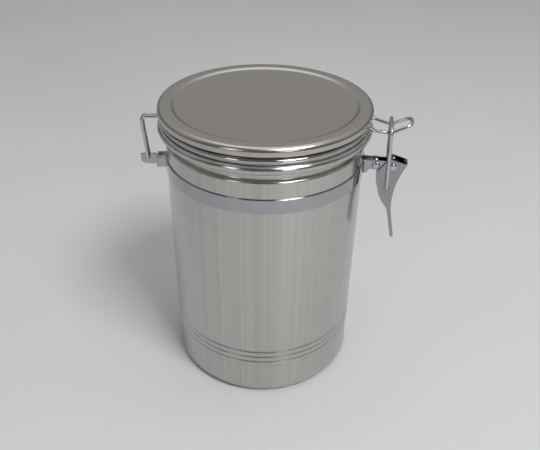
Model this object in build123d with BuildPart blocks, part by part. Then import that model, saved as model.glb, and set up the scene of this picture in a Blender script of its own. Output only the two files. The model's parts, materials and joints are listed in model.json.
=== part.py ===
from build123d import *
from math import cos, degrees, radians, sin, sqrt
import os

# Food canister with a wire clamp lid. Millimetres, +Z up.
# The origin is the middle of the base. The latch is on +X, and the hinge is nearly opposite it.

# Body
BODY_RADIUS = 60.0
BODY_SHEET = 0.7
BODY_FOOT_Z = 2.7
BEAD_CREST_Z = [25.75, 29.9, 34.1]
BEAD_PITCH = 4.2
BEAD_DEPTH = 0.55
COLLAR_TOP_Z = 160.4
NECK_RADIUS = 57.4
RIM_RADIUS = 64.0
RIM_UNDER_Z = 166.3
RIM_TOP_Z = 171.7

# Base
FOOT_RADIUS = 58.2
BASE_SHEET = 0.8
BASE_FLOOR_Z = 3.6

# Lid
LID_RADIUS = 63.5
LID_SHEET = 0.6
LID_TOP_Z = 182.3
PANEL_RADIUS = 54.5
PANEL_DROP = 1.0
LIP_Z = 176.9
LID_NECK_RADIUS = 60.6
PAN_FLANGE_RADIUS = 61.6
PAN_FLANGE_Z = 172.65
PAN_FLOOR_Z = 170.0
PAN_FLOOR_RADIUS = 51.5
PAN_SHEET = 0.6
GASKET_RADIUS = 61.3
GASKET_INNER_RADIUS = 57.0
GASKET_LIP_RADIUS = 58.3
GASKET_LIP_DEPTH = 0.4

# Hoop wire
HOOP_WIRE = 2.1
HOOP_RING_RADIUS = LID_NECK_RADIUS + HOOP_WIRE / 2 + 0.1
HOOP_Z = PAN_FLANGE_Z + PAN_SHEET + HOOP_WIRE / 2 + 0.05
NOSE_HALF_WIDTH = 8.7
NOSE_ROOT = (64.8, 171.9)
NOSE_VALLEY = (74.3, 170.2)
NOSE_TIP = (85.7, 175.7)
NOSE_TIP_HALF = 5.9
NOSE_VALLEY_HALF = 6.2
HINGE_LEG_Y = 1.2
HINGE_X = -71.5
HINGE_Z = 145.2
HINGE_ARM_X = -73.5
HINGE_ARM_Z = 172.6
HINGE_ARM_END_X = -64.4
HINGE_FOOT_Y = 2.45
HINGE_FOOT_TIP_Y = 0.25
# The hinge is not quite opposite the latch
HINGE_TURN = radians(10.5)

# Strap and latch bracket
STRAP_THICKNESS = 0.8
STRAP_Z = (141.3, 150.1)
TAB_Z = (144.1, 150.1)
TAB_OUTER_Y = 3.2
TAB_END_X = 80.7
TAB_NARROW_X = (62.5, 64.5)
TAB_CORNER = 2.0
STRAP_BOLT_X = 68.0
STRAP_BOLT_Z = 147.2
BOLT_RADIUS = 1.5
BOLT_HEAD_RADIUS = 2.4
NUT_RADIUS = 2.6
NUT_HEIGHT = 2.0

# Lever, pivoting at P, with the bail pivoting at B
LEVER_PIVOT = (77.8, 147.2)
BAIL_PIVOT = (75.8, 132.8)
LEVER_SHEET = 0.8
LEVER_TOP = (76.0, 152.1)
LEVER_BACK = [(84.3, 96.6), (82.3, 106.5), (80.4, 118.0), (80.4, 127.0), (82.2, 137.5), (86.7, 149.1)]
LEVER_FRONT = [
    (68.6, 142.7), (69.0, 137.5), (70.5, 131.4), (71.9, 127.2),
    (74.3, 122.4), (77.6, 117.2), (80.0, 107.0), (82.3, 96.3),
]
LEVER_OUTER_Y = 4.3
LEVER_RIVET_RADIUS = 1.5
BUSH_RADIUS = 2.0
RUNNING_FIT = 0.05

# Bail
BAIL_WIRE = 2.4
BAIL_BAR = (74.3, 173.3)
BAIL_BAR_HALF = 10.2
BAIL_FOOT_HALF = 5.9
BAIL_FOOT_TIP_Y = 1.0

# Hinge bracket
EAR_HALF = 0.9
EAR_Z = (141.2, 147.6)
EAR_TIP = 4.7
HINGE_BLOCK_Z = (140.6, 146.8)
HINGE_BLOCK_X = -66.4
HINGE_BLOCK_HALF = 4.5
HINGE_RIVET_Z = 143.8
HINGE_RIVET_RADIUS = 1.2
HINGE_RIVET_END_X = -60.1
RIVET_HEAD_RADIUS = 1.7
BRACKET_SHEET = 1.0

os.makedirs("parts", exist_ok=True)


def save(builder, name):
    """Label a finished piece and write it as its own STEP file."""
    builder.part.label = name
    export_step(builder.part, "parts/" + name + ".step")


def bend(points, radii):
    """Draw a path through the points, with each inner corner rounded to its radius."""
    places = [Vector(*p) for p in points]
    start = places[0]
    for before, corner, after, radius in zip(places, places[1:], places[2:], radii):
        into = (corner - before).normalized()
        out = (after - corner).normalized()
        half_turn = radians(into.get_angle(out)) / 2
        reach = radius * sin(half_turn) / cos(half_turn)
        arc_start = corner - into * reach
        arc_end = corner + out * reach
        inward = (out - into).normalized()
        centre = corner + inward * (radius / cos(half_turn))
        Line(start, arc_start)
        ThreePointArc(arc_start, centre - inward * radius, arc_end)
        start = arc_end
    Line(start, places[-1])


def sheet_of_revolution(points, radii, thickness):
    """Revolve a sheet of the given thickness, bent along the (radius, height) points."""
    with BuildPart() as sheet:
        with BuildSketch(Plane.XZ):
            with BuildLine():
                bend([(r, z) for r, z in points], radii)
            trace(line_width=thickness)
        revolve(axis=Axis.Z)
    return sheet


def bent_wire(points, radii, diameter):
    """Sweep a round wire of the given diameter along the rounded path."""
    with BuildPart() as wire:
        with BuildLine() as path:
            bend(points, radii)
        with BuildSketch(Plane(origin=path.line @ 0, z_dir=path.line % 0)):
            Circle(diameter / 2)
        sweep()
    return wire


def hinge_plane(distance):
    """Return the plane square to the hinge's direction, at a distance from the can's axis."""
    out = Vector(cos(HINGE_TURN), sin(HINGE_TURN), 0)
    return Plane(origin=out * distance, x_dir=(-sin(HINGE_TURN), cos(HINGE_TURN), 0), z_dir=out)


def ear_plane(distance):
    """Return the upright plane beside the hinge's own mid plane, at a distance from it."""
    side = Vector(sin(HINGE_TURN), -cos(HINGE_TURN), 0)
    return Plane(origin=side * distance, x_dir=(cos(HINGE_TURN), sin(HINGE_TURN), 0), z_dir=side)


def turned(points):
    """Return the points turned about the can's axis to where the hinge is."""
    turn_cos = cos(HINGE_TURN)
    turn_sin = sin(HINGE_TURN)
    return [(x * turn_cos - y * turn_sin, x * turn_sin + y * turn_cos, z) for x, y, z in points]


# Body shell: foot turned in, three rolled beads, neck groove, flared and rolled rim
half = BODY_SHEET / 2
wall = BODY_RADIUS - half
shell_path = [(FOOT_RADIUS - 3.3, BODY_FOOT_Z + half), (wall, BODY_FOOT_Z + half)]
shell_bends = [1.2]
for crest_z in BEAD_CREST_Z:
    shell_path.append((wall - BEAD_DEPTH, crest_z - BEAD_PITCH / 2))
    shell_path.append((wall, crest_z - BEAD_PITCH / 4))
    shell_path.append((wall, crest_z + BEAD_PITCH / 4))
    shell_bends += [1.0, 1.0, 1.0]
shell_path.append((wall - BEAD_DEPTH, BEAD_CREST_Z[-1] + BEAD_PITCH / 2))
shell_path.append((wall, BEAD_CREST_Z[-1] + BEAD_PITCH / 2 + 1.2))
shell_bends += [1.0, 1.0]
shell_path += [
    (wall, COLLAR_TOP_Z),
    (NECK_RADIUS, COLLAR_TOP_Z + 0.3),
    (NECK_RADIUS, RIM_UNDER_Z + half),
    (RIM_RADIUS - half, RIM_UNDER_Z + half),
    (RIM_RADIUS - half, RIM_TOP_Z - half),
    (NECK_RADIUS + 2.2, RIM_TOP_Z - half),
    (NECK_RADIUS + 2.2, RIM_UNDER_Z + 1.2),
]
shell_bends += [0.9, 0.9, 1.2, 2.2, 2.2, 1.2]
body_shell = sheet_of_revolution(shell_path, shell_bends, BODY_SHEET)
save(body_shell, "body_shell")

# Base plate: foot ring, raised floor, and a flange that lies inside the can
half = BASE_SHEET / 2
base_path = [
    (0, BASE_FLOOR_Z + half),
    (FOOT_RADIUS - 4.5, BASE_FLOOR_Z + half),
    (FOOT_RADIUS - 3.2, half),
    (FOOT_RADIUS - half, half),
    (FOOT_RADIUS - half, BODY_FOOT_Z - 0.05),
]
base_plate = sheet_of_revolution(base_path, [0.9, 0.8, 0.8], BASE_SHEET)
save(base_plate, "base_plate")

# Clamp strap: a band with its ends turned out as two tabs for the latch
strap_outer = BODY_RADIUS + STRAP_THICKNESS
tab_inner_y = TAB_OUTER_Y - STRAP_THICKNESS
tab_x = (BODY_RADIUS - 0.4, TAB_END_X)
with BuildPart() as clamp_strap:
    with BuildSketch(Plane.XY.offset(STRAP_Z[0])):
        Circle(strap_outer)
        Circle(BODY_RADIUS, mode=Mode.SUBTRACT)
        with Locations((strap_outer, 0)):
            Rectangle(12, 2 * tab_inner_y, mode=Mode.SUBTRACT)
    extrude(amount=STRAP_Z[1] - STRAP_Z[0])
    with BuildSketch(Plane.XZ.offset(TAB_OUTER_Y)):
        with BuildLine():
            Polyline(
                (tab_x[0] + 0.6, STRAP_Z[0]), (TAB_NARROW_X[0], STRAP_Z[0]), (TAB_NARROW_X[1], TAB_Z[0]),
                (tab_x[1] - TAB_CORNER, TAB_Z[0]), (tab_x[1], TAB_Z[0] + TAB_CORNER),
                (tab_x[1], TAB_Z[1] - TAB_CORNER), (tab_x[1] - TAB_CORNER, TAB_Z[1]),
                (tab_x[0] + 0.6, STRAP_Z[1]), close=True,
            )
        make_face()
    extrude(amount=-STRAP_THICKNESS)
    mirror(about=Plane.XZ)
    with Locations(Plane.XZ.offset(TAB_OUTER_Y)):
        with Locations((STRAP_BOLT_X, STRAP_BOLT_Z)):
            Hole(BOLT_RADIUS, depth=2 * TAB_OUTER_Y)
        with Locations(LEVER_PIVOT):
            Hole(LEVER_RIVET_RADIUS, depth=2 * TAB_OUTER_Y)
    with BuildSketch(hinge_plane(-BODY_RADIUS - 4)):
        with Locations((0, HINGE_RIVET_Z)):
            Circle(HINGE_RIVET_RADIUS)
    extrude(amount=8, mode=Mode.SUBTRACT)
save(clamp_strap, "clamp_strap")


def cross_pin(place, radius, y_span, head_radius, head_height, head_sides):
    """Make a pin along Y at an (x, z) place, with a domed head on each named side."""
    with BuildPart() as pin:
        with BuildSketch(Plane.XZ.offset(-y_span[1])):
            with Locations(place):
                Circle(radius)
        extrude(amount=y_span[1] - y_span[0])
        for side in head_sides:
            head_y = y_span[0] if side < 0 else y_span[1]
            with BuildSketch(Plane.XZ.offset(-head_y)):
                with Locations(place):
                    Circle(head_radius)
            extrude(amount=-side * head_height)
            rim = pin.edges().filter_by(GeomType.CIRCLE).sort_by(Axis.Y)
            fillet(rim[0] if side < 0 else rim[-1], head_height * 0.7)
    return pin


# Bolt and nut that pull the two tabs together
bolt_place = (STRAP_BOLT_X, STRAP_BOLT_Z)
bolt_span = (-TAB_OUTER_Y, TAB_OUTER_Y + 2.6)
strap_bolt = cross_pin(bolt_place, BOLT_RADIUS, bolt_span, BOLT_HEAD_RADIUS, 1.3, [-1])
save(strap_bolt, "strap_bolt")

with BuildPart() as strap_nut:
    with BuildSketch(Plane.XZ.offset(-TAB_OUTER_Y)):
        with Locations(bolt_place):
            RegularPolygon(radius=NUT_RADIUS, side_count=6)
            Circle(BOLT_RADIUS + 0.02, mode=Mode.SUBTRACT)
    extrude(amount=-NUT_HEIGHT)
save(strap_nut, "strap_nut")

# Rivet that carries the lever on the tabs
rivet_end = LEVER_OUTER_Y + 0.15
lever_rivet = cross_pin(LEVER_PIVOT, LEVER_RIVET_RADIUS, (-rivet_end, rivet_end), 2.4, 0.9, [-1, 1])
save(lever_rivet, "lever_rivet")

# Latch lever: a channel open towards the can, with a long flanged tail
lever_inner_y = LEVER_OUTER_Y - LEVER_SHEET
with BuildPart() as latch_lever:
    with BuildSketch(Plane.XZ.offset(LEVER_OUTER_Y)):
        with BuildLine():
            back = Spline(*LEVER_BACK)
            front = Spline(*LEVER_FRONT)
            Line(back @ 1, LEVER_TOP)
            Line(LEVER_TOP, front @ 0)
            Line(front @ 1, back @ 0)
        make_face()
    extrude(amount=-2 * LEVER_OUTER_Y)
    with BuildSketch(Plane.XZ.offset(lever_inner_y)):
        with BuildLine():
            inside = Spline(*[(x - LEVER_SHEET, z) for x, z in LEVER_BACK[1:]])
            low = (LEVER_BACK[1][0] - 20, LEVER_BACK[1][1])
            high = (LEVER_TOP[0] - 20, LEVER_TOP[1] + 10)
            Polyline(inside @ 1, (LEVER_BACK[-1][0], high[1]), high, low, inside @ 0)
        make_face()
    extrude(amount=-2 * lever_inner_y, mode=Mode.SUBTRACT)
    with Locations(Plane.XZ.offset(LEVER_OUTER_Y)):
        with Locations(LEVER_PIVOT):
            Hole(LEVER_RIVET_RADIUS + RUNNING_FIT, depth=2 * LEVER_OUTER_Y)
        with Locations(BAIL_PIVOT):
            Hole(BUSH_RADIUS + RUNNING_FIT, depth=2 * LEVER_OUTER_Y)
save(latch_lever, "latch_lever")

# Bush across the lever, in which the feet of the bail turn
with BuildPart() as bail_bush:
    with BuildSketch(Plane.XZ.offset(LEVER_OUTER_Y)):
        with Locations(BAIL_PIVOT):
            Circle(BUSH_RADIUS)
            Circle(BAIL_WIRE / 2 + RUNNING_FIT, mode=Mode.SUBTRACT)
    extrude(amount=-2 * LEVER_OUTER_Y)
save(bail_bush, "bail_bush")

# Bail: a wire loop, wider at its top bar, with both feet turned in
foot_x, foot_z = BAIL_PIVOT
bar_x, bar_z = BAIL_BAR
bail_wire = bent_wire(
    [
        (foot_x, -BAIL_FOOT_TIP_Y, foot_z),
        (foot_x, -BAIL_FOOT_HALF, foot_z),
        (bar_x, -BAIL_BAR_HALF, bar_z),
        (bar_x, BAIL_BAR_HALF, bar_z),
        (foot_x, BAIL_FOOT_HALF, foot_z),
        (foot_x, BAIL_FOOT_TIP_Y, foot_z),
    ],
    [1.4, 3.0, 3.0, 1.4],
    BAIL_WIRE,
)
save(bail_wire, "bail_wire")

# Lid cap: shallow recessed panel, rolled edge, and a neck that the hoop sits round
half = LID_SHEET / 2
top_z = LID_TOP_Z - half
edge = LID_RADIUS - half
lid_neck = LID_NECK_RADIUS - half
cap_path = [
    (0, top_z - PANEL_DROP),
    (PANEL_RADIUS - 0.6, top_z - PANEL_DROP),
    (PANEL_RADIUS + 1.2, top_z),
    (edge, top_z),
    (edge, LIP_Z + half),
    (lid_neck, LIP_Z + half),
    (lid_neck, PAN_FLANGE_Z + PAN_SHEET + 0.03),
]
lid_cap = sheet_of_revolution(cap_path, [1.5, 1.5, 2.4, 0.8, 0.9], LID_SHEET)
save(lid_cap, "lid_cap")

# Lid pan: dished floor that dips into the mouth, and the flange under the hoop
half = PAN_SHEET / 2
pan_path = [
    (0, PAN_FLOOR_Z + half),
    (PAN_FLOOR_RADIUS, PAN_FLOOR_Z + half),
    (PAN_FLOOR_RADIUS + 5.3, PAN_FLANGE_Z + half),
    (PAN_FLANGE_RADIUS, PAN_FLANGE_Z + half),
]
lid_pan = sheet_of_revolution(pan_path, [1.5, 1.5], PAN_SHEET)
save(lid_pan, "lid_pan")

# Gasket: flat ring on the rim with a lip that hangs into the mouth
with BuildPart() as gasket:
    with BuildSketch(Plane.XZ):
        with BuildLine():
            Polyline(
                (GASKET_INNER_RADIUS, PAN_FLANGE_Z - 0.05),
                (GASKET_RADIUS, PAN_FLANGE_Z - 0.05),
                (GASKET_RADIUS, RIM_TOP_Z + 0.05),
                (GASKET_LIP_RADIUS, RIM_TOP_Z + 0.05),
                (GASKET_LIP_RADIUS - 0.4, RIM_TOP_Z - GASKET_LIP_DEPTH),
                (GASKET_INNER_RADIUS + 0.3, RIM_TOP_Z - GASKET_LIP_DEPTH),
                close=True,
            )
        make_face()
    revolve(axis=Axis.Z)
save(gasket, "gasket")


def ring_point(angle):
    """Return the point of the hoop's ring at an angle from +X, in degrees."""
    return (HOOP_RING_RADIUS * cos(radians(angle)), HOOP_RING_RADIUS * sin(radians(angle)), HOOP_Z)


def leave_ring(angle, side_y):
    """Return where the tangent at a ring point reaches the given y."""
    x, y, z = ring_point(angle)
    run = (side_y - y) / cos(radians(angle))
    return (x - run * sin(radians(angle)), side_y, z)


def mirrored(points):
    """Return the points reflected to the other side of the latch plane, in reverse order."""
    return [(x, -y, z) for x, y, z in reversed(points)]


# Hoop: foot, leg and arm at the hinge, half ring, nose, half ring, arm, leg and foot
hinge_angle = 186.0
nose_angle = -11.5
hinge_part = [
    (HINGE_X, -HINGE_FOOT_TIP_Y, HINGE_Z),
    (HINGE_X, -HINGE_FOOT_Y, HINGE_Z),
    (HINGE_ARM_X, -HINGE_LEG_Y, HINGE_ARM_Z),
    (HINGE_ARM_END_X, -HINGE_LEG_Y, HINGE_ARM_Z),
    leave_ring(hinge_angle, -HINGE_LEG_Y),
    ring_point(hinge_angle),
]
hinge_start = turned(hinge_part)
hinge_end = turned(mirrored(hinge_part))
hinge_bends = [1.3, 2.8, 1.5, 1.6]
nose_part = [
    ring_point(nose_angle),
    leave_ring(nose_angle, -NOSE_HALF_WIDTH),
    (NOSE_ROOT[0], -NOSE_HALF_WIDTH, NOSE_ROOT[1]),
    (NOSE_VALLEY[0], -NOSE_VALLEY_HALF, NOSE_VALLEY[1]),
    (NOSE_TIP[0], -NOSE_TIP_HALF, NOSE_TIP[1]),
]
nose_bends = [1.6, 2.0, 4.0, 4.6]
with BuildPart() as hoop_wire:
    with BuildLine() as hoop_path:
        bend(hinge_start, hinge_bends)
        ThreePointArc(hinge_start[-1], ring_point(-90), ring_point(nose_angle))
        bend(nose_part + mirrored(nose_part), nose_bends + nose_bends[::-1])
        ThreePointArc(ring_point(-nose_angle), ring_point(90), hinge_end[0])
        bend(hinge_end, hinge_bends[::-1])
    with BuildSketch(Plane(origin=hoop_path.line @ 0, z_dir=hoop_path.line % 0)):
        Circle(HOOP_WIRE / 2)
    sweep()
save(hoop_wire, "hoop_wire")

# Hinge bracket: a box of sheet, open above and below, against the strap, with one ear for the hoop's feet
bracket_inner = strap_outer + 0.05
block_place = Location(hinge_plane((HINGE_BLOCK_X - BODY_RADIUS) / 2).origin, (0, 0, degrees(HINGE_TURN)))
block_length = -HINGE_BLOCK_X - BODY_RADIUS
inside_length = block_length - 2 * BRACKET_SHEET
inside_width = 2 * (HINGE_BLOCK_HALF - BRACKET_SHEET)
ear_root_x = HINGE_BLOCK_X + BRACKET_SHEET / 2
with BuildPart() as hinge_bracket:
    with BuildSketch(Plane.XY.offset(HINGE_BLOCK_Z[0])):
        with Locations(block_place):
            Rectangle(block_length, 2 * HINGE_BLOCK_HALF)
            Rectangle(inside_length, inside_width, mode=Mode.SUBTRACT)
        Circle(bracket_inner + BRACKET_SHEET)
        with Locations(Location(hinge_plane(-BODY_RADIUS).origin, (0, 0, degrees(HINGE_TURN)))):
            Rectangle(20, 2 * HINGE_BLOCK_HALF, mode=Mode.INTERSECT)
        Circle(bracket_inner, mode=Mode.SUBTRACT)
    extrude(amount=HINGE_BLOCK_Z[1] - HINGE_BLOCK_Z[0])
    with BuildSketch(ear_plane(EAR_HALF)):
        with BuildLine():
            edge = Polyline(
                (HINGE_X - 1, EAR_Z[0]),
                (ear_root_x, EAR_Z[0]),
                (ear_root_x, HINGE_BLOCK_Z[1]),
                (HINGE_BLOCK_X, HINGE_BLOCK_Z[1]),
                (HINGE_BLOCK_X - 1, EAR_Z[1]),
                (HINGE_X - EAR_TIP, EAR_Z[1]),
                (HINGE_X - EAR_TIP, HINGE_Z + 0.4),
            )
            ThreePointArc(edge @ 1, (HINGE_X - EAR_TIP * 0.8, EAR_Z[0] + 1.2), edge @ 0)
        make_face()
    extrude(amount=-2 * EAR_HALF)
    with Locations(ear_plane(EAR_HALF)):
        with Locations((HINGE_X, HINGE_Z)):
            Hole(HOOP_WIRE / 2 + RUNNING_FIT, depth=2 * EAR_HALF)
    with BuildSketch(hinge_plane(-BODY_RADIUS - 4)):
        with Locations((0, HINGE_RIVET_Z)):
            Circle(HINGE_RIVET_RADIUS)
    extrude(amount=8, mode=Mode.SUBTRACT)
save(hinge_bracket, "hinge_bracket")

# One rivet inside the box holds the bracket to the strap
rivet_under_head = -bracket_inner - BRACKET_SHEET - 0.03
with BuildPart() as hinge_rivet:
    with BuildSketch(hinge_plane(HINGE_RIVET_END_X)):
        with Locations((0, HINGE_RIVET_Z)):
            Circle(HINGE_RIVET_RADIUS)
    extrude(amount=rivet_under_head - HINGE_RIVET_END_X)
    with BuildSketch(hinge_plane(rivet_under_head)):
        with Locations((0, HINGE_RIVET_Z)):
            Circle(RIVET_HEAD_RADIUS)
    extrude(amount=-0.7)
    outward = Axis((0, 0, 0), (cos(HINGE_TURN), sin(HINGE_TURN), 0))
    fillet(hinge_rivet.edges().filter_by(GeomType.CIRCLE).group_by(outward)[0], 0.5)
save(hinge_rivet, "hinge_rivet")
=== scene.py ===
import json
from math import atan2, cos, degrees, hypot, pi, radians, sin, sqrt, tan

import bpy
from mathutils import Matrix, Vector


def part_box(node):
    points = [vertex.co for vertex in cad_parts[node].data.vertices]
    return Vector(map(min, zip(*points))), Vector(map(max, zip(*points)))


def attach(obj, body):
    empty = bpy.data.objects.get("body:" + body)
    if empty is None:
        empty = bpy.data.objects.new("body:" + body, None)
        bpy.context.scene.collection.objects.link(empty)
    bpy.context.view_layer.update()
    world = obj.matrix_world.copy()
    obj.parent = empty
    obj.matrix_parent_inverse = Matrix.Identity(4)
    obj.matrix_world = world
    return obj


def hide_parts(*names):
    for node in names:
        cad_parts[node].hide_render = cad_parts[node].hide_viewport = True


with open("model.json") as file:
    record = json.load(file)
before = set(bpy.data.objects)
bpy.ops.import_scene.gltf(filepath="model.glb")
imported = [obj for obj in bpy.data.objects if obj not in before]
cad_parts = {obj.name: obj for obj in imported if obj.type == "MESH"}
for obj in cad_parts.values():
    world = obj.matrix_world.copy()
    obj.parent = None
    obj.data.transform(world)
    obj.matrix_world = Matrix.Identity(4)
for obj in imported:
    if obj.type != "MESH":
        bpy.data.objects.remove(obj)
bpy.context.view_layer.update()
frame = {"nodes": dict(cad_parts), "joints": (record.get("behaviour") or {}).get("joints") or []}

# The canister's lengths are in millimetres and turned into metres when a mesh is made.
# +X points at the clamp lever. The lid hinge is 10.5 degrees round from -X, and z = 0 is the floor.
MM = 0.001


def size_of(node):
    """Return a node's lowest and highest corners at rest, in millimetres."""
    low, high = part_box(node)
    return [value / MM for value in low], [value / MM for value in high]


def joint_point(name):
    """Return the point on a joint's axis, in millimetres."""
    joint = next(j for j in frame["joints"] if j["name"] == name)
    return tuple(value / MM for value in joint["pos_m"])


def joint_place(name):
    """Return the (x, z) of a hinge's axis, in millimetres."""
    x, y, z = joint_point(name)
    return x, z


# ---------------------------------------------------------------- paths


def rounded(points, radii, step=8.0):
    """Return the path through the points with each inner corner turned into an arc."""
    places = [Vector(p) for p in points]
    path = [places[0]]
    for before, corner, after, radius in zip(places, places[1:], places[2:], radii):
        into = (corner - before).normalized()
        out = (after - corner).normalized()
        turn = into.angle(out)
        reach = radius * tan(turn / 2)
        inward = (out - into).normalized()
        centre = corner + inward * (radius / cos(turn / 2))
        start = corner - into * reach - centre
        count = max(2, int(degrees(turn) / step))
        for i in range(count + 1):
            share = i / count
            first = sin((1 - share) * turn)
            second = sin(share * turn)
            end = corner + out * reach - centre
            path.append(centre + (start * first + end * second) / sin(turn))
    path.append(places[-1])
    return path


def thickened(path, thickness):
    """Return the closed outline of a sheet bent along an (r, z) path."""
    left, right = [], []
    for i, point in enumerate(path):
        before = path[max(i - 1, 0)]
        after = path[min(i + 1, len(path) - 1)]
        along = (after - before).normalized()
        across = Vector((-along[1], along[0])) * (thickness / 2)
        left.append(point + across)
        right.append(point - across)
    return left + right[::-1]


def without_repeats(path, gap=0.004):
    """Drop points that lie on the point before them."""
    kept = [path[0]]
    for point in path[1:]:
        if (point - kept[-1]).length > gap:
            kept.append(point)
    return kept


# ---------------------------------------------------------------- meshes


def make_piece(name, vertices, faces, body, slot, material, replaced, smooth_angle=35.0):
    """Make a mesh piece from points in millimetres and tie it to the CAD frame."""
    mesh = bpy.data.meshes.new(name)
    mesh.from_pydata([tuple(Vector(v) * MM) for v in vertices], [], faces)
    mesh.validate()
    mesh.polygons.foreach_set("use_smooth", [True] * len(mesh.polygons))
    mesh.set_sharp_from_angle(angle=radians(smooth_angle))
    piece = bpy.data.objects.new(name, mesh)
    bpy.context.scene.collection.objects.link(piece)
    mesh.materials.append(material)
    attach(piece, body)
    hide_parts(*replaced)
    return piece


def dress(node, material):
    """Give a CAD node that stays in view its Blender material."""
    materials = frame["nodes"][node].data.materials
    materials.clear()
    materials.append(material)


def ring_faces(rows, columns, closed_rows):
    """Return the quads of a grid whose columns close on themselves."""
    faces = []
    for i in range(rows if closed_rows else rows - 1):
        for j in range(columns):
            a = i * columns + j
            b = i * columns + (j + 1) % columns
            c = ((i + 1) % rows) * columns + (j + 1) % columns
            d = ((i + 1) % rows) * columns + j
            faces.append((a, d, c, b))
    return faces


def capped_faces(rows, columns):
    """Return the faces of a row of rings with a cap on each end."""
    last = (rows - 1) * columns
    faces = ring_faces(rows, columns, False)
    faces.append(tuple(range(columns)))
    faces.append(tuple(range(last + columns - 1, last - 1, -1)))
    return faces


def lathe(outline, segments=288):
    """Return the vertices and faces of a closed (r, z) outline turned about the z axis."""
    vertices = []
    for r, z in outline:
        for j in range(segments):
            angle = 2 * pi * j / segments
            vertices.append((r * cos(angle), r * sin(angle), z))
    return vertices, ring_faces(len(outline), segments, True)


def tube(path, radius, sides=28):
    """Return the vertices and faces of a round wire with rounded ends along a 3D path."""
    path = without_repeats(path)
    tangents = []
    for i in range(len(path)):
        before = path[max(i - 1, 0)]
        after = path[min(i + 1, len(path) - 1)]
        tangents.append((after - before).normalized())
    side = tangents[0].orthogonal().normalized()
    rings = []
    for i, (point, tangent) in enumerate(zip(path, tangents)):
        if i:
            side = (side - tangent * side.dot(tangent)).normalized()
        other = tangent.cross(side)
        rings.append((point, tangent, side.copy(), other, radius))
    rings = end_rings(rings, radius)
    vertices = []
    for point, tangent, side, other, size in rings:
        for j in range(sides):
            angle = 2 * pi * j / sides
            vertices.append(point + side * (size * cos(angle)) + other * (size * sin(angle)))
    return vertices, capped_faces(len(rings), sides)


def end_rings(rings, radius):
    """Round off both ends of a wire inside its own length."""
    rounding = radius * 0.3
    steps = 4
    ends = []
    for index, direction in ((0, 1), (-1, -1)):
        point, tangent, side, other, _ = rings[index]
        extra = []
        for k in range(steps + 1):
            angle = pi / 2 * k / steps
            place = point + tangent * (direction * rounding * (1 - cos(angle)))
            extra.append((place, tangent, side, other, radius - rounding + rounding * sin(angle)))
        ends.append(extra)
    return ends[0] + rings[1:-1] + ends[1][::-1]


# ---------------------------------------------------------------- materials


def new_material(name):
    """Return a new material with its node tree and its Principled shader."""
    material = bpy.data.materials.new(name)
    material.use_nodes = True
    return material, material.node_tree, material.node_tree.nodes["Principled BSDF"]


def grain(tree, stretch, detail, low, high):
    """Add noise drawn out by the stretch in object space, and return its value scaled to low..high."""
    nodes, links = tree.nodes, tree.links
    place = nodes.new("ShaderNodeTexCoord")
    mapping = nodes.new("ShaderNodeMapping")
    mapping.inputs["Scale"].default_value = stretch
    noise = nodes.new("ShaderNodeTexNoise")
    noise.inputs["Scale"].default_value = 1.0
    noise.inputs["Detail"].default_value = detail
    noise.inputs["Roughness"].default_value = 0.6
    spread = nodes.new("ShaderNodeMapRange")
    spread.inputs["From Min"].default_value = 0.3
    spread.inputs["From Max"].default_value = 0.7
    spread.inputs["To Min"].default_value = low
    spread.inputs["To Max"].default_value = high
    links.new(place.outputs["Object"], mapping.inputs["Vector"])
    links.new(mapping.outputs["Vector"], noise.inputs["Vector"])
    links.new(noise.outputs["Fac"], spread.inputs["Value"])
    return spread.outputs["Result"]


def add(tree, first, second):
    """Add two values."""
    node = tree.nodes.new("ShaderNodeMath")
    node.operation = "ADD"
    tree.links.new(first, node.inputs[0])
    tree.links.new(second, node.inputs[1])
    return node.outputs[0]


def blended(tree, first, second, second_share):
    """Blend two values, the second by its share and the first by the rest."""
    node = tree.nodes.new("ShaderNodeMix")
    node.inputs["Factor"].default_value = second_share
    tree.links.new(first, node.inputs["A"])
    tree.links.new(second, node.inputs["B"])
    return node.outputs["Result"]


def bump(tree, shader, height, strength, distance):
    """Drive the shader's normal from a height."""
    node = tree.nodes.new("ShaderNodeBump")
    node.inputs["Strength"].default_value = strength
    node.inputs["Distance"].default_value = distance
    tree.links.new(height, node.inputs["Height"])
    tree.links.new(node.outputs["Normal"], shader.inputs["Normal"])


def tint(tree, shader, value, dark, light):
    """Colour the shader between two colours by a value from 0 to 1."""
    ramp = tree.nodes.new("ShaderNodeValToRGB")
    ramp.color_ramp.elements[0].color = (*dark, 1)
    ramp.color_ramp.elements[1].color = (*light, 1)
    tree.links.new(value, ramp.inputs["Fac"])
    tree.links.new(ramp.outputs["Color"], shader.inputs["Base Color"])


def brushed_round():
    """Steel brushed round the z axis: fine rings of grain, upright light and dark streaks painted into the
    colour as a painted reflection of the surroundings, drawn-out highlights.
    """
    material, tree, shader = new_material("brushed_round")
    shader.inputs["Metallic"].default_value = 1.0
    shader.inputs["Anisotropic"].default_value = 0.8
    shader.inputs["Anisotropic Rotation"].default_value = 0.25
    tangent = tree.nodes.new("ShaderNodeTangent")
    tangent.direction_type = "RADIAL"
    tangent.axis = "Z"
    tree.links.new(tangent.outputs["Tangent"], shader.inputs["Tangent"])
    fine = grain(tree, (14, 14, 3000), 3.0, 0.0, 1.0)
    coarse = grain(tree, (9, 9, 700), 2.0, -0.008, 0.008)
    cloud = grain(tree, (22, 22, 10), 3.0, 0.200, 0.240)
    # Painted reflection: upright light and dark streaks in the base colour stand in for the surroundings
    # mirrored by the brushed metal.
    painted_streaks = grain(tree, (330, 330, 1.2), 3.0, 0.0, 1.0)
    grain_and_painted_streaks = blended(tree, fine, painted_streaks, 0.6)
    # The colour mixes the real brushing grain with the painted reflection streaks.
    tint(tree, shader, grain_and_painted_streaks, (0.450, 0.441, 0.419), (0.600, 0.590, 0.563))
    tree.links.new(add(tree, coarse, cloud), shader.inputs["Roughness"])
    bump(tree, shader, fine, 0.02, 0.00001)
    return material


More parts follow.
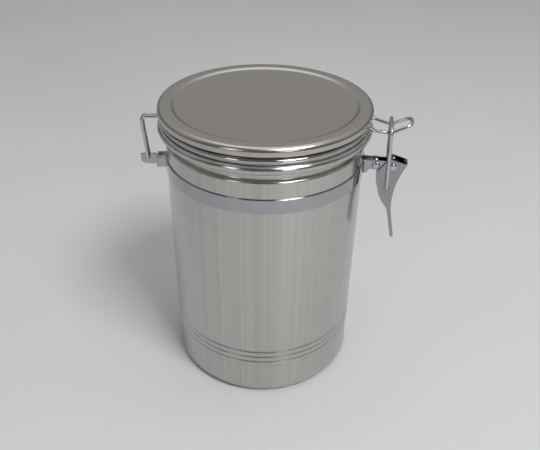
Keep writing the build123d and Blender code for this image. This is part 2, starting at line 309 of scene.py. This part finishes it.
def satin():
    """Satin lid steel: an even, warm grey with a very fine grain."""
    material, tree, shader = new_material("satin_lid")
    shader.inputs["Metallic"].default_value = 1.0
    fine = grain(tree, (2200, 240, 2200), 3.0, 0.0, 1.0)
    cloud = grain(tree, (25, 25, 25), 3.0, 0.22, 0.26)
    tint(tree, shader, fine, (0.505, 0.480, 0.445), (0.535, 0.510, 0.475))
    tree.links.new(cloud, shader.inputs["Roughness"])
    bump(tree, shader, fine, 0.05, 0.00001)
    return material


def polished(name, colour, least_roughness, most_roughness, ripple):
    """Polished or plated metal with faint smears, and a slight ripple from pressing."""
    material, tree, shader = new_material(name)
    shader.inputs["Metallic"].default_value = 1.0
    smear = grain(tree, (90, 90, 160), 4.0, least_roughness, most_roughness)
    wear = grain(tree, (240, 240, 240), 2.0, 0.0, 1.0)
    tree.links.new(smear, shader.inputs["Roughness"])
    tint(tree, shader, wear, tuple(c * WORN_SHADE for c in colour), colour)
    wave = grain(tree, (45, 45, 45), 1.0, 0.0, 1.0)
    bump(tree, shader, wave, ripple, 0.0002)
    return material


def silicone():
    """Milky silicone for the gasket."""
    material, tree, shader = new_material("silicone")
    cloud = grain(tree, (120, 120, 120), 3.0, 0.0, 1.0)
    tint(tree, shader, cloud, (0.50, 0.50, 0.48), (0.60, 0.60, 0.58))
    shader.inputs["Roughness"].default_value = 0.45
    shader.inputs["Subsurface Weight"].default_value = 0.2
    shader.inputs["Subsurface Radius"].default_value = (0.002, 0.002, 0.002)
    fine = grain(tree, (900, 900, 900), 2.0, 0.0, 1.0)
    bump(tree, shader, fine, 0.05, 0.00005)
    return material


WORN_SHADE = 0.93
BRUSHED = brushed_round()
SATIN = satin()
INNER = polished("inner_steel", (0.62, 0.62, 0.60), 0.24, 0.34, 0.05)
# Painted dark reflection: the strap's base colour is set darker than the steel to stand in for dark
# surroundings mirrored in it.
STRAP = polished("polished_strap", (0.42, 0.43, 0.45), 0.04, 0.07, 0.04)
# Painted dark reflection: the lever's base colour is set darker still for the same reason.
LEVER = polished("polished_lever_painted_dark", (0.36, 0.365, 0.375), 0.04, 0.08, 0.30)
CHROME = polished("chrome_wire", (0.56, 0.56, 0.58), 0.04, 0.08, 0.05)
SILICONE = silicone()

# ---------------------------------------------------------------- can

can_low, can_high = size_of("body_shell")
BODY_RADIUS = 60.0
BODY_SHEET = 0.7
RIM_RADIUS = can_high[0]
RIM_TOP_Z = can_high[2]
RIM_UNDER_Z = RIM_TOP_Z - 5.4
RIM_RETURN_RADIUS_STEP = 2.2
RIM_RETURN_Z_STEP = 1.2
FOOT_Z = can_low[2]
FOOT_RADIUS = size_of("base_plate")[1][0]
FOOT_TURN_IN = 3.3
COLLAR_TOP_Z = 160.4
COLLAR_SLOPE = 0.3
NECK_RADIUS = 57.4
BEAD_CREST_Z = [25.75, 29.9, 34.1]
BEAD_PITCH = 4.2
BEAD_DEPTH = 0.55
BEAD_RUN_OUT = 1.2


def can_outline():
    """Follow the can's sheet from its turned-in foot up to its rolled rim."""
    half = BODY_SHEET / 2
    wall = BODY_RADIUS - half
    rim = RIM_RADIUS - half
    rim_return = NECK_RADIUS + RIM_RETURN_RADIUS_STEP
    points = [(FOOT_RADIUS - FOOT_TURN_IN, FOOT_Z + half), (wall, FOOT_Z + half)]
    bends = [1.2]
    for crest in BEAD_CREST_Z:
        points.append((wall - BEAD_DEPTH, crest - BEAD_PITCH / 2))
        points.append((wall, crest - BEAD_PITCH / 4))
        points.append((wall, crest + BEAD_PITCH / 4))
        bends += [0.9, 1.4, 1.4]
    points.append((wall - BEAD_DEPTH, BEAD_CREST_Z[-1] + BEAD_PITCH / 2))
    points.append((wall, BEAD_CREST_Z[-1] + BEAD_PITCH / 2 + BEAD_RUN_OUT))
    bends += [0.9, 1.4]
    points += [
        (wall, COLLAR_TOP_Z),
        (NECK_RADIUS, COLLAR_TOP_Z + COLLAR_SLOPE),
        (NECK_RADIUS, RIM_UNDER_Z + half),
        (rim, RIM_UNDER_Z + half),
        (rim, RIM_TOP_Z - half),
        (rim_return, RIM_TOP_Z - half),
        (rim_return, RIM_UNDER_Z + RIM_RETURN_Z_STEP),
    ]
    bends += [0.9, 0.9, 1.2, 2.2, 2.2, 1.2]
    return thickened(rounded(points, bends, 6.0), BODY_SHEET)


make_piece("can_shell", *lathe(can_outline()), "can", "brushed_body", BRUSHED, ["body_shell"])

BASE_SHEET = 0.8
BASE_CENTRE_RADIUS = 0.5
BASE_DISH_Z = 3.6
BASE_DISH_INSET = 4.5
BASE_RING_WIDTH = 3.2
BASE_SEAM_GAP = 0.05


def base_outline():
    """Follow the base plate from its centre down to the foot ring and up to the seam."""
    half = BASE_SHEET / 2
    points = [
        (BASE_CENTRE_RADIUS, BASE_DISH_Z + half),
        (FOOT_RADIUS - BASE_DISH_INSET, BASE_DISH_Z + half),
        (FOOT_RADIUS - BASE_RING_WIDTH, half),
        (FOOT_RADIUS - half, half),
        (FOOT_RADIUS - half, FOOT_Z - BASE_SEAM_GAP),
    ]
    return thickened(rounded(points, [0.9, 0.8, 0.8], 8.0), BASE_SHEET)


make_piece("can_base", *lathe(base_outline(), 192), "can", "inner_steel", INNER, ["base_plate"])

# ---------------------------------------------------------------- strap

strap_low, strap_high = size_of("clamp_strap")
STRAP_Z = (strap_low[2], strap_high[2])
STRAP_SHEET = 0.8
TAB_Y = 2.8
TAB_LOW_Z = 144.1
TAB_END_X = strap_high[0]
TAB_NARROWS_X = 62.4
TAB_NARROWS_RUN = 2.2
TAB_TIP_LEAST = 0.02
STRAP_BEND = 1.7
STRAP_EDGE = 0.22


def strap_centre_line():
    """Return the strap's plan in two parts: one tab from its end in to the can, and the way round."""
    tab_steps, bend_steps, ring_steps = 40, 12, 300
    ring = BODY_RADIUS + STRAP_SHEET / 2
    turn_x = sqrt((ring + STRAP_BEND) ** 2 - (TAB_Y + STRAP_BEND) ** 2)
    meet = atan2(TAB_Y + STRAP_BEND, turn_x)
    tab = [Vector((TAB_END_X - i * (TAB_END_X - turn_x) / tab_steps, -TAB_Y)) for i in range(tab_steps)]
    sweep_angle = pi / 2 + meet
    for i in range(bend_steps + 1):
        angle = pi / 2 + sweep_angle * i / bend_steps
        x = turn_x + STRAP_BEND * cos(angle)
        y = -TAB_Y - STRAP_BEND + STRAP_BEND * sin(angle)
        tab.append(Vector((x, y)))
    start = -meet
    end = -2 * pi + meet
    way_round = []
    for i in range(1, ring_steps):
        angle = start + (end - start) * i / ring_steps
        way_round.append(Vector((ring * cos(angle), ring * sin(angle))))
    return tab, way_round


def strap_heights(x, on_tab):
    """Return the strap's lower and upper edge heights at a place along it."""
    if not on_tab:
        return STRAP_Z
    half = (STRAP_Z[1] - TAB_LOW_Z) / 2
    past = (x - (TAB_END_X - half)) / half
    if past > 0:
        middle = (STRAP_Z[1] + TAB_LOW_Z) / 2
        half *= sqrt(max(TAB_TIP_LEAST, 1 - past * past))
        return middle - half, middle + half
    share = min(1.0, max(0.0, (x - TAB_NARROWS_X) / TAB_NARROWS_RUN))
    share = share * share * (3 - 2 * share)
    return STRAP_Z[0] + (TAB_LOW_Z - STRAP_Z[0]) * share, STRAP_Z[1]


def strap_mesh():
    """Build the strap as one band of sheet metal from tab to tab, with softly rounded edges."""
    tab, way_round = strap_centre_line()
    other_tab = [Vector((p[0], -p[1])) for p in reversed(tab)]
    line = tab + way_round + other_tab
    half = STRAP_SHEET / 2
    edge = STRAP_EDGE
    vertices = []
    for i, point in enumerate(line):
        before = line[max(i - 1, 0)]
        after = line[min(i + 1, len(line) - 1)]
        along = (after - before).normalized()
        across = Vector((along[1], -along[0]))
        on_tab = i < len(tab) or i >= len(line) - len(tab)
        low, high = strap_heights(point[0], on_tab)
        section = [
            (half - edge, low), (half - edge * 0.3, low + edge * 0.3), (half, low + edge),
            (half, low + 2 * edge), (half, high - 2 * edge),
            (half, high - edge), (half - edge * 0.3, high - edge * 0.3), (half - edge, high),
        ]
        section += [(-offset, z) for offset, z in reversed(section)]
        for offset, z in section:
            place = point + across * offset
            vertices.append((place[0], place[1], z))
    return vertices, capped_faces(len(line), len(section))


make_piece("strap_band", *strap_mesh(), "can", "polished_strap", STRAP, ["clamp_strap"], 50.0)


# ---------------------------------------------------------------- pins


def turned_along(axis, place, profile, sides=40):
    """Turn a (radius, height) profile about an axis through a place, closed at both ends."""
    axis = Vector(axis).normalized()
    first = axis.orthogonal().normalized()
    second = axis.cross(first)
    vertices = []
    for radius, height in profile:
        for j in range(sides):
            angle = 2 * pi * j / sides
            offset = first * (radius * cos(angle)) + second * (radius * sin(angle))
            vertices.append(Vector(place) + axis * height + offset)
    return vertices, capped_faces(len(profile), sides)


def domed(radius, height, foot=0.25):
    """Return the profile of a domed head that rises from height 0."""
    steps, least_radius = 8, 0.03
    profile = [(radius, 0.0), (radius, height * foot)]
    for k in range(1, steps + 1):
        angle = pi / 2 * k / steps
        profile.append((max(radius * cos(angle), least_radius), height * (foot + (1 - foot) * sin(angle))))
    return profile


def joined(parts):
    """Join several (vertices, faces) lists into one."""
    vertices, faces = [], []
    for part_vertices, part_faces in parts:
        offset = len(vertices)
        vertices += list(part_vertices)
        faces += [tuple(index + offset for index in face) for face in part_faces]
    return vertices, faces


rivet_low, rivet_high = size_of("lever_rivet")
rivet_x, rivet_z = joint_place("lever_turn")
rivet_head = (rivet_high[0] - rivet_low[0]) / 2
RIVET_HEAD_HEIGHT = 0.9
RIVET_SHANK_RADIUS = 1.5


def two_headed_rivet():
    """Build the lever's rivet: a plain shank with a domed head at each end."""
    parts = []
    for side in (-1, 1):
        under = side * (rivet_high[1] - RIVET_HEAD_HEIGHT)
        head = domed(rivet_head, RIVET_HEAD_HEIGHT)
        parts.append(turned_along((0, side, 0), (rivet_x, under, rivet_z), head))
    length = 2 * rivet_high[1] - 2 * RIVET_HEAD_HEIGHT
    shank = [(RIVET_SHANK_RADIUS, 0.0), (RIVET_SHANK_RADIUS, length)]
    start = rivet_low[1] + RIVET_HEAD_HEIGHT
    parts.append(turned_along((0, 1, 0), (rivet_x, start, rivet_z), shank))
    return joined(parts)


make_piece("lever_rivet_heads", *two_headed_rivet(), "can", "chrome_wire", CHROME, ["lever_rivet"])

bolt_low, bolt_high = size_of("strap_bolt")
bolt_x = (bolt_low[0] + bolt_high[0]) / 2
bolt_z = (bolt_low[2] + bolt_high[2]) / 2
bolt_head = (bolt_high[0] - bolt_low[0]) / 2
nut_low, nut_high = size_of("strap_nut")
BOLT_HEAD_HEIGHT = 1.3
BOLT_SHANK_RADIUS = 1.45
BOLT_TIP = [(1.2, 0.1), (1.0, 0.0)]
THREAD_CREST_RADIUS = 1.5
THREAD_ROOT_RADIUS = 1.28
THREAD_FROM_TIP = 4.6
THREAD_LENGTH = 4.4
THREAD_TURNS = 9
NUT_PROFILE = [(0.86, 0.0), (1.0, 0.35), (1.0, 1.65), (0.86, 2.0)]


def bolt_mesh():
    """Build the bolt: a domed head and a shank with thread rings at its far end."""
    under = bolt_low[1] + BOLT_HEAD_HEIGHT
    head = turned_along((0, -1, 0), (bolt_x, under, bolt_z), domed(bolt_head, BOLT_HEAD_HEIGHT))
    length = bolt_high[1] - under
    profile = [(BOLT_SHANK_RADIUS, 0.0)]
    for k in range(THREAD_TURNS):
        start = length - THREAD_FROM_TIP + k * THREAD_LENGTH / THREAD_TURNS
        profile.append((THREAD_CREST_RADIUS, start))
        profile.append((THREAD_ROOT_RADIUS, start + THREAD_LENGTH / 2 / THREAD_TURNS))
    profile += [(radius, length - from_tip) for radius, from_tip in BOLT_TIP]
    return joined([head, turned_along((0, 1, 0), (bolt_x, under, bolt_z), profile)])


def nut_mesh():
    """Build a hexagonal nut whose corners are turned off at both ends."""
    corner_radius = (nut_high[0] - nut_low[0]) / 2
    sides = 96
    vertices = []
    for share, height in NUT_PROFILE:
        for j in range(sides):
            angle = 2 * pi * j / sides
            wedge = (angle % (pi / 3)) - pi / 6
            hexagon = corner_radius * cos(pi / 6) / cos(wedge)
            radius = min(hexagon, corner_radius * share) if share < 1 else hexagon
            y = nut_low[1] + height
            vertices.append((bolt_x + radius * cos(angle), y, bolt_z + radius * sin(angle)))
    return vertices, capped_faces(len(NUT_PROFILE), sides)


make_piece("tension_bolt", *bolt_mesh(), "can", "chrome_wire", CHROME, ["strap_bolt"])
make_piece("tension_nut", *nut_mesh(), "can", "chrome_wire", CHROME, ["strap_nut"])

# ---------------------------------------------------------------- lever

LEVER_HALF = 4.3
LEVER_SHEET = 0.8
LEVER_BEND = 1.5
LEVER_TIP_SHARE = 0.06
LEVER_TIP_NARROWING = 0.45
# (x, z) places along the edges of the lever, seen from the side.
LEVER_TOP = (76.0, 152.1)
LEVER_BACK = [(86.7, 149.1), (82.2, 137.5), (80.4, 127.0), (80.4, 118.0), (82.3, 106.5), (84.3, 96.6)]
LEVER_FRONT = [
    (68.6, 142.7), (69.0, 137.5), (70.5, 131.4), (71.9, 127.2),
    (74.3, 122.4), (77.6, 117.2), (80.0, 107.0), (82.3, 96.3),
]


def smooth_curve(points, count):
    """Return evenly spread points of a smooth curve through the given points."""
    places = [Vector(p) for p in points]
    places = [2 * places[0] - places[1]] + places + [2 * places[-1] - places[-2]]
    dense = []
    steps = 40
    for a, b, c, d in zip(places, places[1:], places[2:], places[3:]):
        for k in range(steps):
            t = k / steps
            dense.append(0.5 * (2 * b + (c - a) * t + (2 * a - 5 * b + 4 * c - d) * t * t
                                + (3 * b - a - 3 * c + d) * t ** 3))
    dense.append(places[-2])
    lengths = [0.0]
    for first, second in zip(dense, dense[1:]):
        lengths.append(lengths[-1] + (second - first).length)
    result, index = [], 0
    for k in range(count):
        goal = lengths[-1] * k / (count - 1)
        while index < len(lengths) - 2 and lengths[index + 1] < goal:
            index += 1
        span = lengths[index + 1] - lengths[index]
        share = (goal - lengths[index]) / span if span else 0.0
        result.append(dense[index].lerp(dense[index + 1], share))
    return result


def at_height(curve, z):
    """Return the x of a curve at a height."""
    for first, second in zip(curve, curve[1:]):
        if min(first[1], second[1]) <= z <= max(first[1], second[1]):
            span = second[1] - first[1]
            share = (z - first[1]) / span if span else 0.0
            return first[0] + (second[0] - first[0]) * share
    return curve[-1][0] if z < curve[-1][1] else curve[0][0]


def lever_mesh():
    """Build the lever's bent sheet: two walls joined by a rounded back, narrowing to the tail."""
    row_count, curve_points = 110, 200
    wall_steps, corner_steps, back_steps = 5, 6, 6
    back = smooth_curve(LEVER_BACK, curve_points)
    front_low = smooth_curve(LEVER_FRONT, curve_points)
    top_line = [Vector(LEVER_TOP), Vector(LEVER_FRONT[0])]
    low_z = LEVER_FRONT[-1][1]
    rows = []
    for i in range(row_count):
        share = i / (row_count - 1)
        back_z = LEVER_BACK[0][1] + (LEVER_BACK[-1][1] - LEVER_BACK[0][1]) * share
        front_z = LEVER_TOP[1] + (low_z - LEVER_TOP[1]) * share
        front_line = top_line if front_z > LEVER_FRONT[0][1] else front_low
        front = Vector((at_height(front_line, front_z), front_z))
        spine = Vector((at_height(back, back_z), back_z))
        tip = max(0.0, (share - (1 - LEVER_TIP_SHARE)) / LEVER_TIP_SHARE)
        half = LEVER_HALF * sqrt(max(0.0, 1 - LEVER_TIP_NARROWING * tip * tip))
        inward = front - spine
        corner = min(LEVER_BEND, inward.length * 0.5)
        inward.normalize()
        section = []
        for k in range(wall_steps):
            section.append((-half, front + (spine + inward * corner - front) * (k / wall_steps)))
        for k in range(corner_steps + 1):
            angle = pi / 2 * k / corner_steps
            y = -half + corner * (1 - cos(angle))
            section.append((y, spine + inward * (corner * (1 - sin(angle)))))
        mirror = [(-y, p) for y, p in reversed(section)]
        for k in range(1, back_steps):
            section.append(((-half + corner) * (1 - 2 * k / back_steps), spine))
        rows.append([Vector((p[0], y, p[1])) for y, p in section + mirror])
    columns = len(rows[0])
    vertices = [vertex for row in rows for vertex in row]
    faces = []
    for i in range(row_count - 1):
        for j in range(columns - 1):
            a = i * columns + j
            faces.append((a, a + columns, a + columns + 1, a + 1))
    return vertices, faces


lever = make_piece("lever_channel", *lever_mesh(), "lever", "polished_strap", LEVER, ["latch_lever"], 60.0)
sheet = lever.modifiers.new("sheet", "SOLIDIFY")
sheet.thickness = LEVER_SHEET * MM
sheet.offset = -1.0
sheet.use_even_offset = True
soften = lever.modifiers.new("soften", "BEVEL")
soften.width = 0.18 * MM
soften.segments = 2
soften.limit_method = "ANGLE"
soften.angle_limit = radians(50)

dress("bail_bush", INNER)

# ---------------------------------------------------------------- bail

bail_x, bail_z = joint_place("bail_swing")
BAIL_RADIUS = 1.2
BAIL_BAR_X = 74.3
BAIL_BAR_Z = size_of("bail_wire")[1][2] - BAIL_RADIUS
BAIL_BAR_HALF = 10.2
BAIL_FOOT_HALF = 5.9
BAIL_TIP_HALF = 1.0


def bail_path():
    """Follow the bail from one turned-in foot over the top bar to the other foot."""
    points = [
        (bail_x, -BAIL_TIP_HALF, bail_z),
        (bail_x, -BAIL_FOOT_HALF, bail_z),
        (BAIL_BAR_X, -BAIL_BAR_HALF, BAIL_BAR_Z),
        (BAIL_BAR_X, BAIL_BAR_HALF, BAIL_BAR_Z),
        (bail_x, BAIL_FOOT_HALF, bail_z),
        (bail_x, BAIL_TIP_HALF, bail_z),
    ]
    return rounded(points, [1.4, 3.0, 3.0, 1.4])


make_piece("bail_loop", *tube(bail_path(), BAIL_RADIUS), "bail", "chrome_wire", CHROME, ["bail_wire"])

# ---------------------------------------------------------------- lid

cap_low, cap_high = size_of("lid_cap")
pan_low, pan_high = size_of("lid_pan")
LID_RADIUS = cap_high[0]
LID_TOP_Z = cap_high[2]
LID_SHEET = 0.6
LID_CENTRE_RADIUS = 0.3
PANEL_RADIUS = 54.5
PANEL_DROP = 1.0
STEP_INSIDE, STEP_OUTSIDE = 0.6, 1.2
LIP_Z = 176.9
LID_NECK_RADIUS = 60.6


def cap_outline():
    """Follow the lid from its panel over the step and rolled edge down to its neck."""
    half = LID_SHEET / 2
    top = LID_TOP_Z - half
    edge = LID_RADIUS - half
    neck = LID_NECK_RADIUS - half
    points = [
        (LID_CENTRE_RADIUS, top - PANEL_DROP),
        (PANEL_RADIUS - STEP_INSIDE, top - PANEL_DROP),
        (PANEL_RADIUS + STEP_OUTSIDE, top),
        (edge, top),
        (edge, LIP_Z + half),
        (neck, LIP_Z + half),
        (neck, cap_low[2]),
    ]
    return thickened(rounded(points, [1.5, 1.5, 2.4, 0.8, 0.9], 5.0), LID_SHEET)


make_piece("lid_cover", *lathe(cap_outline()), "lid", "satin_lid", SATIN, ["lid_cap"])


PAN_FLOOR_RADIUS = 51.5
PAN_SLOPE_RADIUS = 56.8


def pan_outline():
    """Follow the inner pan from its floor up the slope to the flange."""
    half = LID_SHEET / 2
    floor = pan_low[2] + half
    flange = pan_high[2] - half
    points = [
        (LID_CENTRE_RADIUS, floor),
        (PAN_FLOOR_RADIUS, floor),
        (PAN_SLOPE_RADIUS, flange),
        (pan_high[0], flange),
    ]
    return thickened(rounded(points, [1.5, 1.5], 6.0), LID_SHEET)


make_piece("lid_inner_pan", *lathe(pan_outline()), "lid", "inner_steel", INNER, ["lid_pan"])

seal_low, seal_high = size_of("gasket")
SEAL_INNER_RADIUS = 57.0
SEAL_LIP_RADIUS = 58.4
SEAL_LIP_DEPTH = 0.45
SEAL_TOP_EDGE, SEAL_EDGE = 0.3, 0.2


def seal_outline():
    """Return the gasket's section: a flat ring with a shallow lip that hangs into the mouth."""
    outer, top, lip = seal_high[0], seal_high[2], seal_low[2]
    low = lip + SEAL_LIP_DEPTH
    points = [
        (SEAL_INNER_RADIUS + SEAL_EDGE, top), (outer - SEAL_TOP_EDGE, top), (outer, top - SEAL_TOP_EDGE),
        (outer, low + SEAL_EDGE), (outer - SEAL_EDGE, low), (SEAL_LIP_RADIUS, low),
        (SEAL_LIP_RADIUS - 0.3, low - 0.15), (SEAL_LIP_RADIUS - 0.5, lip), (SEAL_INNER_RADIUS + 0.4, lip),
        (SEAL_INNER_RADIUS + 0.1, lip + SEAL_EDGE), (SEAL_INNER_RADIUS, top - SEAL_EDGE),
    ]
    return [Vector(p) for p in points]


make_piece("lid_seal", *lathe(seal_outline()), "lid", "silicone", SILICONE, ["gasket"])

# ---------------------------------------------------------------- hoop

hinge_joint_x, hinge_joint_y, hinge_z = joint_point("lid_turn")
hinge_x = -hypot(hinge_joint_x, hinge_joint_y)
HINGE_TURN = atan2(-hinge_joint_y, -hinge_joint_x)
HOOP_RADIUS = 1.05
GAP_TO_NECK = 0.1
GAP_TO_PAN = 0.05
RING_RADIUS = LID_NECK_RADIUS + HOOP_RADIUS + GAP_TO_NECK
RING_Z = pan_high[2] + HOOP_RADIUS + GAP_TO_PAN
HINGE_LEAVES_AT = 186.0
NOSE_LEAVES_AT = -11.5
NOSE_HALF = 8.7
NOSE_VALLEY = (74.3, 170.2)
NOSE_VALLEY_HALF = 6.2
NOSE_TIP = (85.7, 175.7)
NOSE_TIP_HALF = 5.9
ARM_Z = 172.6
ARM_X = -73.5
ARM_END_X = -64.4
NOSE_ROOT = (64.8, 171.9)
LEG_Y = 1.2
FOOT_Y = 2.45
FOOT_TIP_Y = 0.25


def ring_point(angle):
    """Return the point of the hoop's ring at an angle in degrees from +X."""
    return (RING_RADIUS * cos(radians(angle)), RING_RADIUS * sin(radians(angle)), RING_Z)


def leave_ring(angle, side_y):
    """Return where the tangent at a ring point reaches the given y."""
    x, y, z = ring_point(angle)
    run = (side_y - y) / cos(radians(angle))
    return (x - run * sin(radians(angle)), side_y, z)


def mirrored(points):
    """Return the points reflected to the other side, in reverse order."""
    return [(x, -y, z) for x, y, z in reversed(points)]


def turned(points):
    """Return the points turned about the can's axis to where the hinge is."""
    turn_cos, turn_sin = cos(HINGE_TURN), sin(HINGE_TURN)
    return [Vector((x * turn_cos - y * turn_sin, x * turn_sin + y * turn_cos, z)) for x, y, z in points]


def ring_arc(start, end):
    """Return points of the hoop's ring between two angles in degrees, without its ends."""
    count = int(abs(end - start))
    return [Vector(ring_point(start + (end - start) * k / count)) for k in range(1, count)]


def hoop_path():
    """Follow the hoop: hinge foot, leg, arm, half ring, nose, and back on the other side."""
    hinge_part = [
        (hinge_x, -FOOT_TIP_Y, hinge_z),
        (hinge_x, -FOOT_Y, hinge_z),
        (ARM_X, -LEG_Y, ARM_Z),
        (ARM_END_X, -LEG_Y, ARM_Z),
        leave_ring(HINGE_LEAVES_AT, -LEG_Y),
        ring_point(HINGE_LEAVES_AT),
    ]
    hinge_bends = [1.3, 2.8, 1.5, 1.6]
    nose_part = [
        ring_point(NOSE_LEAVES_AT),
        leave_ring(NOSE_LEAVES_AT, -NOSE_HALF),
        (NOSE_ROOT[0], -NOSE_HALF, NOSE_ROOT[1]),
        (NOSE_VALLEY[0], -NOSE_VALLEY_HALF, NOSE_VALLEY[1]),
        (NOSE_TIP[0], -NOSE_TIP_HALF, NOSE_TIP[1]),
    ]
    nose_bends = [1.6, 2.0, 4.0, 4.6]
    turn = degrees(HINGE_TURN)
    path = turned(rounded(hinge_part, hinge_bends))
    path += ring_arc(HINGE_LEAVES_AT + turn, 360 + NOSE_LEAVES_AT)
    path += rounded(nose_part + mirrored(nose_part), nose_bends + nose_bends[::-1])
    path += ring_arc(-NOSE_LEAVES_AT, 360 - HINGE_LEAVES_AT + turn)
    path += turned(rounded(mirrored(hinge_part), hinge_bends[::-1]))
    return path


make_piece("hoop_ring", *tube(hoop_path(), HOOP_RADIUS), "lid", "chrome_wire", CHROME, ["hoop_wire"])

# ---------------------------------------------------------------- hinge bracket

# The bracket takes the strap's base colour, which is painted darker to stand in for dark reflections.
dress("hinge_bracket", STRAP)
dress("hinge_rivet", CHROME)

# ---------------------------------------------------------------- floor, light and camera

CAMERA_TURN = radians(8.5)
# (place, grey level): from level up to straight up, and from beside the camera to straight behind it.
ROOM_BY_HEIGHT = [(0.0, 0.10), (0.20, 0.22), (0.40, 0.40), (0.62, 0.44), (0.85, 0.55), (1.0, 0.80)]
ROOM_BY_SIDE = [(0.0, 1.0), (0.30, 0.55), (0.60, 0.25), (1.0, 0.20)]


def floor_material():
    """Pale, slightly satin table top."""
    material, tree, shader = new_material("pale_floor")
    cloud = grain(tree, (3, 3, 3), 2.0, 0.0, 1.0)
    tint(tree, shader, cloud, (0.600, 0.602, 0.612), (0.622, 0.624, 0.634))
    shader.inputs["Roughness"].default_value = 0.6
    return material


def make_floor():
    """Lay the floor far past what the camera sees."""
    reach = 4.0
    corners = [(-reach, -reach, 0), (reach, -reach, 0), (reach, reach, 0), (-reach, reach, 0)]
    mesh = bpy.data.meshes.new("floor")
    mesh.from_pydata(corners, [], [(0, 1, 2, 3)])
    mesh.materials.append(floor_material())
    floor = bpy.data.objects.new("floor", mesh)
    bpy.context.scene.collection.objects.link(floor)


def add_light(name, place, target, power, size):
    """Add a soft white area light aimed at a target. Places are in metres."""
    data = bpy.data.lights.new(name, "AREA")
    data.energy = power
    data.shape = "RECTANGLE"
    data.size, data.size_y = size
    light = bpy.data.objects.new(name, data)
    light.location = place
    light.rotation_euler = (Vector(target) - Vector(place)).to_track_quat("-Z", "Y").to_euler()
    bpy.context.scene.collection.objects.link(light)


def make_world():
    """Light the room softly: brighter towards the ceiling, darker behind the camera."""
    world = bpy.data.worlds.new("room")
    world.use_nodes = True
    nodes, links = world.node_tree.nodes, world.node_tree.links
    place = nodes.new("ShaderNodeTexCoord")
    split = nodes.new("ShaderNodeSeparateXYZ")
    links.new(place.outputs["Generated"], split.inputs["Vector"])
    by_height = level_ramp(world.node_tree, split.outputs["Z"], ROOM_BY_HEIGHT)
    behind = nodes.new("ShaderNodeVectorMath")
    behind.operation = "DOT_PRODUCT"
    behind.inputs[1].default_value = (sin(CAMERA_TURN), -cos(CAMERA_TURN), 0)
    links.new(place.outputs["Generated"], behind.inputs[0])
    by_side = level_ramp(world.node_tree, behind.outputs["Value"], ROOM_BY_SIDE)
    product = nodes.new("ShaderNodeVectorMath")
    product.operation = "MULTIPLY"
    links.new(by_height, product.inputs[0])
    links.new(by_side, product.inputs[1])
    links.new(product.outputs["Vector"], nodes["Background"].inputs["Color"])
    bpy.context.scene.world = world


def level_ramp(tree, value, stops):
    """Return the grey level that the stops give for a value."""
    ramp = tree.nodes.new("ShaderNodeValToRGB")
    for position, level in stops[1:-1]:
        ramp.color_ramp.elements.new(position)
    for element, (position, level) in zip(ramp.color_ramp.elements, stops):
        element.position = position
        element.color = (level, level, level, 1)
    tree.links.new(value, ramp.inputs["Fac"])
    return ramp.outputs["Color"]


def camera_side(x, y):
    """Turn a place given as seen from the camera, which looks along +y, into the scene's."""
    turn_cos, turn_sin = cos(CAMERA_TURN), sin(CAMERA_TURN)
    return x * turn_cos - y * turn_sin, x * turn_sin + y * turn_cos


def make_camera():
    """Set the camera at the height, distance and tilt from which the canister is seen."""
    distance, height = 0.3461, 0.3256
    pitch, pan, roll = radians(33.79), radians(0.64), radians(1.01)
    data = bpy.data.cameras.new("camera")
    data.sensor_width = 36.0
    data.lens = 41.72
    forward = Vector((sin(pan) * cos(pitch), cos(pan) * cos(pitch), -sin(pitch)))
    right = Vector((cos(pan), -sin(pan), 0))
    up = right.cross(forward)
    right, up = right * cos(roll) + up * sin(roll), up * cos(roll) - right * sin(roll)
    basis = Matrix((right, up, -forward)).transposed().to_4x4()
    basis.translation = Vector((0, -distance, height))
    camera = bpy.data.objects.new("camera", data)
    camera.matrix_world = Matrix.Rotation(CAMERA_TURN, 4, "Z") @ basis
    bpy.context.scene.collection.objects.link(camera)
    bpy.context.scene.camera = camera


make_floor()
make_world()
make_camera()
add_light("key", (0.62, -0.56, 1.38), (0, 0, 0.08), 15, (0.50, 0.50))
add_light("overhead", (-0.15, 0.45, 1.60), (-0.1, 0.2, 0), 2.5, (1.4, 1.4))
add_light("left_window", (*camera_side(-0.65, -1.00), 0.55), (0, 0, 0.1), 1.0, (0.25, 0.40))
add_light("right_window", (*camera_side(0.49, -1.10), 0.55), (0, 0, 0.1), 1.0, (0.25, 0.40))
bpy.context.scene.view_settings.view_transform = "Standard"
